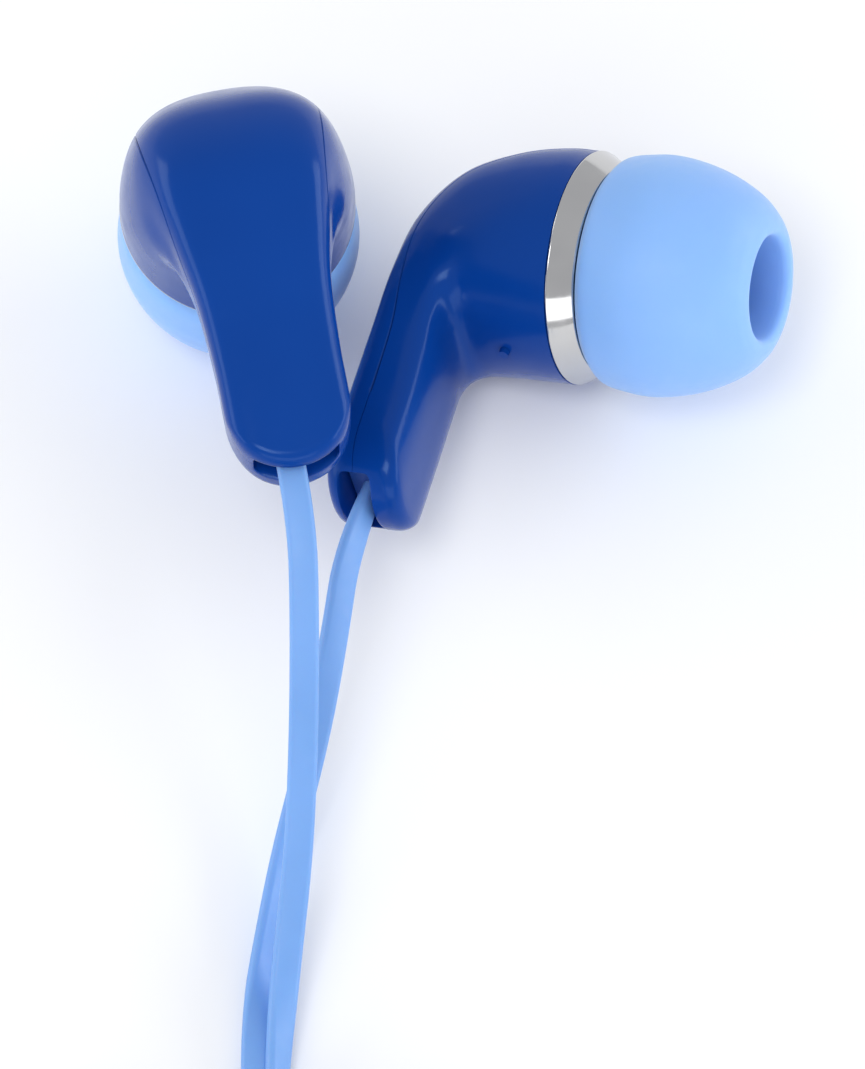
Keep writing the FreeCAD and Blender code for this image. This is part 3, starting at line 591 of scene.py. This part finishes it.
def even_angles(row, start, end, count):
    """Angles from start to end that lie evenly along the cross-section's outline."""
    trial = [start + (end - start) * k / 240 for k in range(241)]
    points = [section_point(row, angle) for angle in trial]
    travelled = [0.0]
    for a, b in zip(points, points[1:]):
        travelled.append(travelled[-1] + (b - a).length)
    found = []
    k = 0
    for j in range(count + 1):
        want = travelled[-1] * j / count
        while k < 239 and travelled[k + 1] < want:
            k += 1
        share = (want - travelled[k]) / max(travelled[k + 1] - travelled[k], 1e-9)
        found.append(trial[k] + (trial[k + 1] - trial[k]) * share)
    return found


def tongue_height(across):
    """Height of the stem's rounded end at a distance from its middle."""
    radius = (TONGUE_HALF ** 2 + TONGUE_DEPTH ** 2) / (2 * TONGUE_DEPTH)
    return STEM_END + radius - math.sqrt(max(radius ** 2 - across ** 2, 0.04))


def stem_point(angle, height, inset=0.0):
    """A point of the stem's side at a height, drawn inwards by the inset."""
    place = STEM_ROW
    while place < len(SECTIONS) - 2 and SECTIONS[place + 1][1] > height:
        place += 1
    upper, lower = SECTIONS[place], SECTIONS[place + 1]
    share = (height - upper[1]) / (lower[1] - upper[1])
    row = tuple(a + (b - a) * share for a, b in zip(upper, lower))
    return section_point(row, angle, inset)


def slot_point(point, grow=0.0):
    """Where the line from the slot's middle to a point crosses the slot's rounded rim."""
    ahead, across = point.x - SLOT_X, point.y
    reach = (abs(ahead / (SLOT_HALF[0] + grow)) ** 8 + abs(across / (SLOT_HALF[1] + grow)) ** 8) ** (-1 / 8)
    return SLOT_X + ahead * reach, across * reach


def end_column(angle):
    """The stem's end in one column: round its edge, over its cap and up the slot's wall."""
    side = stem_point(angle, -15.0)
    low = tongue_height(side.y)
    top = SECTIONS[STEM_ROW][1]
    column = []
    for k in range(1, 11):
        column.append(stem_point(angle, top + (low + END_ROUNDING - top) * k / 10))
    for k in range(1, 8):
        turn = math.radians(90 * k / 7)
        inset = END_ROUNDING * (1 - math.cos(turn))
        point = stem_point(angle, low + END_ROUNDING, inset)
        point.z = tongue_height(point.y) + END_ROUNDING * (1 - math.sin(turn))
        column.append(point)
    edge = column[-1]
    rim = slot_point(edge, 0.12)
    for k in range(1, 6):
        x = edge.x + (rim[0] - edge.x) * k / 5
        y = edge.y + (rim[1] - edge.y) * k / 5
        column.append(Vector((x, y, tongue_height(y))))
    for grow, rise in ((0.035, 0.035), (0.0, 0.12), (0.0, 0.9)):
        x, y = slot_point(edge, grow)
        column.append(Vector((x, y, tongue_height(y) + rise)))
    x, y = slot_point(edge)
    column.append(Vector((x, y, SLOT_TOP)))
    return column


def housing_half(name, side, cover):
    """Half of a bud's housing, parted along the line at an even depth in from its back."""
    matrix = bud_matrix(side)
    places = [STEM_ROW * k / 56 for k in range(57)]
    side_of_line = -1 if cover else 1
    edge = PARTING_DEPTH + side_of_line * PARTING_GAP
    flat = PARTING_DEPTH + side_of_line * (PARTING_GAP + PARTING_CHAMFER)
    count = 56 if cover else 84
    outer, inner = [], []
    for place in places:
        row = section_row(place)
        near, rim = angle_at_depth(row, flat), angle_at_depth(row, edge)
        if cover:
            angles = even_angles(row, -near, near, count)
            rims = (-rim, rim)
        else:
            angles = even_angles(row, near, 2 * math.pi - near, count)
            rims = (rim, 2 * math.pi - rim)
        line = [section_point(row, angle) for angle in angles]
        outer.append([section_point(row, rims[0], PARTING_CHAMFER)] + line
                     + [section_point(row, rims[1], PARTING_CHAMFER)])
        inner.append([section_point(row, angle, WALL) for angle in [rims[0]] + angles + [rims[1]]])
    end_angles = [rims[0]] + angles + [rims[1]]
    ends = [end_column(angle) for angle in end_angles]
    rows = outer + [[column[k] for column in ends] for k in range(len(ends[0]))]
    low_inner = [stem_point(angle, SLOT_TOP, WALL) for angle in end_angles]
    rows += [low_inner] + inner[::-1]
    columns = len(end_angles)
    points = [matrix @ point for line in rows for point in line]
    faces = grid_faces(len(rows), columns, False, True)
    total = len(rows)
    for last in (0, columns - 1):
        for i in range(len(places) - 1):
            j = total - 1 - i
            faces.append((i * columns + last, (i + 1) * columns + last,
                          (j - 1) * columns + last, j * columns + last))
        tail = range(len(places) - 1, total - len(places) + 1)
        faces.append(tuple(i * columns + last for i in tail))
    piece = make_piece(name, points, faces, "housing_blue", smooth_angle=32.0)
    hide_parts(name)


def vent_eye(side):
    """The barrel's small pressure vent: a shallow well with a soft rim."""
    station, radius = VENT
    before, after = SECTIONS[1][0], SECTIONS[2][0]
    row = section_row(1.0 + (station - before) / (after - before))
    height = section_point(row, math.pi).z
    turn = Matrix.Rotation(math.radians(90), 4, "Y")
    matrix = bud_matrix(side) @ Matrix.Translation((station, 0, height - 0.005)) @ turn
    profile = [(0.25, 0.0), (0.16, radius * 0.7), (0.05, radius * 0.9), (0.0, radius),
               (0.02, radius + 0.06), (0.3, radius + 0.04), (0.3, 0.0)]
    turned_piece(side + "_vent", profile, "housing_blue", matrix, steps=32)


# ---- trim ring, nozzle and ear tip ----

def trim_ring(side):
    """The plated ring between the barrel and the ear tip: a rounded cone with a stepped face."""
    profile = [(0.0, 5.0), (0.0, 6.04), *arc((0.11, 6.03), 0.09, 140, 40, 4), (0.3, 6.05),
               (1.28, 5.44), *arc((1.27, 5.33), 0.09, 60, 0, 4), (1.5, 4.85), (1.55, 4.7),
               (1.55, 2.5), (0.75, 2.5), (0.75, 5.0)]
    piece = turned_piece(side + "_trim_ring", profile, "trim_chrome", bud_matrix(side), steps=160)
    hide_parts(side + "_trim_ring")


def nozzle(side):
    """The flanged sound tube, with the bead that keeps the ear tip on."""
    profile = [(0.0, 1.75), (0.0, 4.9), (0.7, 4.9), (0.7, 2.45), *arc((0.95, 2.55), 0.25, 180, 270, 4),
               (5.2, 2.3), (5.4, 2.56), *arc((5.5, 2.5), 0.1, 120, 60, 3), (5.95, 2.59), (6.3, 2.36),
               *arc((6.3, 2.2), 0.1, 80, 0, 4), (6.4, 1.85), (6.35, 1.77), (6.2, 1.75)]
    piece = turned_piece(side + "_nozzle", profile, "dark_plastic", bud_matrix(side))
    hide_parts(side + "_nozzle")


def nozzle_mesh(side):
    """A woven screen: wires over and under each other, clamped in a thin rim."""
    matrix = bud_matrix(side) @ Matrix.Translation((6.0, 0, 0))
    radius, pitch, wire, steps = 1.68, 0.24, 0.045, 42
    points, faces = [], []
    for turned_way in (0, 1):
        for line in range(-6, 7):
            offset = line * pitch
            reach = math.sqrt(max(radius ** 2 - offset ** 2, 0.0))
            start = len(points)
            for k in range(steps + 1):
                along = -reach + 2 * reach * k / steps
                phase = math.pi * (along / pitch + line + turned_way)
                wave = wire * 1.05 * math.cos(phase)
                for dx, dy in ((wire, 0), (0, wire), (-wire, 0), (0, -wire)):
                    if turned_way:
                        place = (wave + dx, offset + dy, along)
                    else:
                        place = (wave + dx, along, offset + dy)
                    points.append(matrix @ Vector(place))
            faces += grid_faces(steps + 1, 4, True, False, start)
            faces.append((start, start + 1, start + 2, start + 3))
            last = start + 4 * steps
            faces.append((last + 3, last + 2, last + 1, last))
    start = len(points)
    rim = [(-0.1, 1.6), (0.1, 1.6), (0.12, 1.66), (0.1, 1.74), (-0.1, 1.74)]
    for station, out in rim:
        for j in range(AROUND):
            angle = 2 * math.pi * j / AROUND
            points.append(matrix @ Vector((station, out * math.cos(angle), out * math.sin(angle))))
    faces += grid_faces(len(rim), AROUND, True, True, start)
    piece = make_piece(side + "_nozzle_mesh", points, faces, "steel")
    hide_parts(side + "_nozzle_mesh")


def ear_tip(side):
    """Soft mushroom: a thin outer skirt that turns in at the mouth to a core on the nozzle."""
    reach = TIP_FRONT - TIP_BACK
    outside = [(TIP_BACK + along * reach, out * TIP_RADIUS) for along, out in SKIRT]
    lip = [(TIP_FRONT - 0.12, TIP_MOUTH + 0.58), (TIP_FRONT - 0.02, TIP_MOUTH + 0.28),
           (TIP_FRONT - 0.01, TIP_MOUTH + 0.06), (TIP_FRONT - 0.12, TIP_MOUTH - 0.13),
           (TIP_FRONT - 0.32, TIP_MOUTH - 0.24), (TIP_FRONT - 0.62, TIP_BORE)]
    outside = smooth_profile(outside + lip, 5)
    bore = [(7.5, TIP_BORE), (5.0, TIP_BORE), (2.08, TIP_BORE), (2.0, TIP_BORE + 0.08),
            (2.0, TIP_CORE - 0.08), (2.08, TIP_CORE)]
    lining = smooth_profile([(5.0, TIP_CORE), (7.0, TIP_CORE + 0.05), (7.55, TIP_CORE + 0.6), (7.2, 4.75),
                             (5.9, 5.5), (3.8, TIP_RADIUS - TIP_SKIN), (2.2, 5.62),
                             (TIP_BACK + 0.06, 5.3)], 5)
    profile = outside + bore + lining + [(TIP_BACK, 5.36)]
    name = side + "_ear_tip"
    piece = turned_piece(name, profile, "tip_silicone", bud_matrix(side), name, steps=160)
    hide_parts(name)


def cord_gland(side):
    """The block that anchors the cord in the stem's slot, with its edges eased."""
    matrix = bud_matrix(side)
    points = []
    low, high = GLAND_FACE, GLAND_FACE + 2.4
    for height, ease in ((low, 0.2), (low + 0.06, 0.06), (low + 0.2, 0.0), (high, 0.0)):
        for j in range(40):
            angle = 2 * math.pi * j / 40
            cosine, sine = math.cos(angle), math.sin(angle)
            ahead = math.copysign(abs(cosine) ** 0.3, cosine) * (0.85 - ease)
            across = math.copysign(abs(sine) ** 0.3, sine) * (2.1 - ease)
            points.append(matrix @ Vector((SLOT_X + ahead, across, height)))
    faces = grid_faces(4, 40, True) + [tuple(range(40)), tuple(reversed(range(120, 160)))]
    piece = make_piece(side + "_cord_gland", points, faces, "fitting_blue")
    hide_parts(side + "_cord_gland")


# ---- splitter and plug ----

def rounded_outline(half_wide, low, high, radius):
    """A rounded rectangle as (across, up) points, between two heights."""
    points = []
    middle, half_high = (low + high) / 2, (high - low) / 2
    for corner, (sx, sy) in enumerate(((1, 1), (-1, 1), (-1, -1), (1, -1))):
        for k in range(7):
            angle = math.radians(90 * corner + 15 * k)
            points.append((sx * (half_wide - radius) + radius * math.cos(angle),
                           middle + sy * (half_high - radius) + radius * math.sin(angle)))
    return points


def ribbed_block(name, start, long, half_widths, low, high, radius, ribs):
    """A rounded block along -Y, with five shallow grip grooves between two shares of its length."""
    rows = []
    for k in range(6):
        turn = math.radians(90 * k / 5)
        rows.append((radius * (1 - math.cos(turn)), radius * (1 - math.sin(turn))))
    first, last = ribs
    steps = 60
    for k in range(1, steps):
        part = k / steps
        along = radius + (long - 2 * radius) * part
        groove = 0.16 * (1 - math.cos(2 * math.pi * 5 * (part - first) / (last - first))) / 2
        rows.append((along, groove if first < part < last else 0.0))
    rows += [(long - along, inset) for along, inset in reversed(rows[:6])]
    points = []
    for along, inset in rows:
        half = half_widths[0] + (half_widths[1] - half_widths[0]) * along / long - inset
        outline = rounded_outline(half, low + inset * 0.6, high - inset, radius * 0.8)
        points += [Vector((start[0] + across, start[1] - along, up)) * MM for across, up in outline]
    count = len(rounded_outline(1.0, 0.0, 1.0, 0.1))
    faces = grid_faces(len(rows), count, True)
    faces += [tuple(range(count)), tuple(reversed(range(len(points) - count, len(points))))]
    piece = make_piece(name, points, faces, "fitting_blue")
    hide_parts(name)
    return piece


def splitter():
    """The splitter's two halves, a hair apart where they meet, and the CAD clamp between them."""
    half = SPLITTER[2]
    pieces = ["splitter_clamp"]
    for name, low, high in (("splitter_top", half + SPLITTER_GAP, 2 * half),
                            ("splitter_bottom", 0.0, half - SPLITTER_GAP)):
        pieces.append(ribbed_block(name, SPLITTER, SPLITTER_LONG, SPLITTER_HALVES,
                                   low, high, 0.6, (0.25, 0.75)))
    return pieces


def plug():
    """Right-angle plug: ribbed grip, stepped strain relief, collar and three contacts."""
    along, across, height = PLUG
    grip = ribbed_block("plug_grip", (along, across + GRIP_HALF), 2 * GRIP_HALF, (GRIP_HALF, GRIP_HALF),
                        0.0, 2 * height, 1.0, (0.1, 0.9))
    made = ["plug_insulator", grip]
    relief = [(0.0, 1.05), (0.0, 1.3), (0.1, 1.42)]
    for k in range(5):
        station, out = 0.25 + 1.15 * k, 1.45 + 0.16 * k
        relief += [(station, out), (station + 0.6, out + 0.08), (station + 0.7, out - 0.28),
                   (station + 1.0, out - 0.25)]
    relief.append((RELIEF_LONG, 2.2))
    heading = (Matrix.Scale(MM, 4) @ Matrix.Translation((along, RELIEF_START, height))
               @ Matrix.Rotation(math.radians(-90), 4, "Z"))
    pieces = {"plug_strain_relief": (relief, "cord_jacket", heading, False)}
    face = Matrix.Scale(MM, 4) @ Matrix.Translation((along + GRIP_HALF, across, height))
    collar = [(-0.1, 2.4), (0.0, 2.6), (0.6, 2.6), (COLLAR_DEPTH, 2.4), (COLLAR_DEPTH, 1.8)]
    pieces["plug_collar"] = (collar, "trim_chrome", face, False)
    pin = face @ Matrix.Translation((COLLAR_DEPTH, 0, 0))
    edge = 0.05
    for name, start, end in (("plug_sleeve", 0.0, 8.0), ("plug_ring", 8.5, 10.1)):
        band = [(start, PIN_BORE), (start, PIN_RADIUS - edge), (start + edge, PIN_RADIUS),
                (end - edge, PIN_RADIUS), (end, PIN_RADIUS - edge), (end, PIN_BORE)]
        pieces[name] = (band, "contact_metal", pin, True)
    tip = [(0.0, 0.6), (10.6, 0.6), (10.6, 1.7), (10.65, 1.75), (10.8, 1.74), (11.2, 1.42), (11.45, 1.15),
           (11.6, 1.12), (11.8, 1.22), (12.2, 1.66), (12.4, 1.74), (12.6, 1.7), (13.5, 1.06), (13.8, 0.76),
           (13.95, 0.4), (14.0, 0.05)]
    pieces["plug_tip"] = (tip, "contact_metal", pin, False)
    for name, (profile, slot, matrix, closed) in pieces.items():
        piece = turned_piece(name, profile, slot, matrix, closed=closed)
        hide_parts(name)
        made.append(piece)
    return made


def coil_tie(name, kind, centre, start_angle, hand, bearing):
    """A soft band drawn round one side of a coil's turns, its edges eased and its back ribbed."""
    ahead = Vector((math.cos(math.radians(bearing)), math.sin(math.radians(bearing)), 0))
    reaches = []
    for x, y, _ in coil_turns(kind, centre, start_angle, hand):
        arm = Vector((x - centre[0], y - centre[1], 0))
        if arm.angle(ahead) < math.radians(15):
            reaches.append(arm.length * 0.98)
    room = kind["thickness"] / 2 + TIE_EASE
    inner, outer = min(reaches) - room, max(reaches) + room
    slack = 0.02  # above and below the turns
    high = 2 * kind["width"] + LAYER_GAP + 2 * slack
    middle = Vector(((inner + outer) / 2, 0, COIL_BASE - slack + high / 2))
    turn = Matrix.Translation((*centre, 0)) @ Matrix.Rotation(math.radians(bearing), 4, "Z")
    matrix = Matrix.Scale(MM, 4) @ turn @ Matrix.Translation(middle)
    rows = []
    for k in range(13):
        across = -TIE_HALF + 2 * TIE_HALF * k / 12
        edge = max(0.0, abs(across) - TIE_HALF + TIE_EDGE) / TIE_EDGE
        rows.append((across, TIE_THICK * (1 - 0.45 * edge ** 2) - 0.03 * (k % 2)))
    rows += [(across, 0.0) for across, _ in reversed(rows)]
    points = []
    half_wide, half_high = (outer - inner) / 2, high / 2
    for across, out in rows:
        for wide, up in rounded_outline(half_wide + out, -half_high - out, half_high + out, 0.2 + out):
            points.append(matrix @ Vector((wide, across, up)))
    count = len(points) // len(rows)
    piece = make_piece(name, points, grid_faces(len(rows), count, True, True), "tie_band")
    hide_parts(name)
    return piece


def dress_cad_nodes():
    """Give every carried-over CAD node its slot's material."""
    slots = {row["node"]: row["material_slot"] for row in frame["record"]["subparts"]}
    for name, node in frame["nodes"].items():
        node.data.materials.clear()
        node.data.materials.append(MATERIALS[slots[name]])


set_camera()
set_light()
set_floor()
dress_cad_nodes()
for bud in BUDS:
    housing_half(bud + "_rear_cover", bud, True)
    housing_half(bud + "_front_shell", bud, False)
    vent_eye(bud)
    trim_ring(bud)
    nozzle(bud)
    nozzle_mesh(bud)
    ear_tip(bud)
    cord_gland(bud)
left_tie = coil_tie("left_branch_coil_tie", BRANCH, LEFT_COIL, 180.0, 1, -30.0)
right_tie = coil_tie("right_branch_coil_tie", BRANCH, RIGHT_COIL, 0.0, -1, 210.0)
main_tie = coil_tie("main_coil_tie", MAIN, MAIN_COIL, MAIN_ENTRY, 1, 20.0)
branch_cord("left", LEFT_DROP, LEFT_SIDES, LEFT_COIL, 1, SPLITTER_SPREAD, [left_tie, *splitter()])
branch_cord("right", RIGHT_DROP, RIGHT_SIDES, RIGHT_COIL, -1, -SPLITTER_SPREAD, [right_tie])
main_lead([main_tie, *plug()])
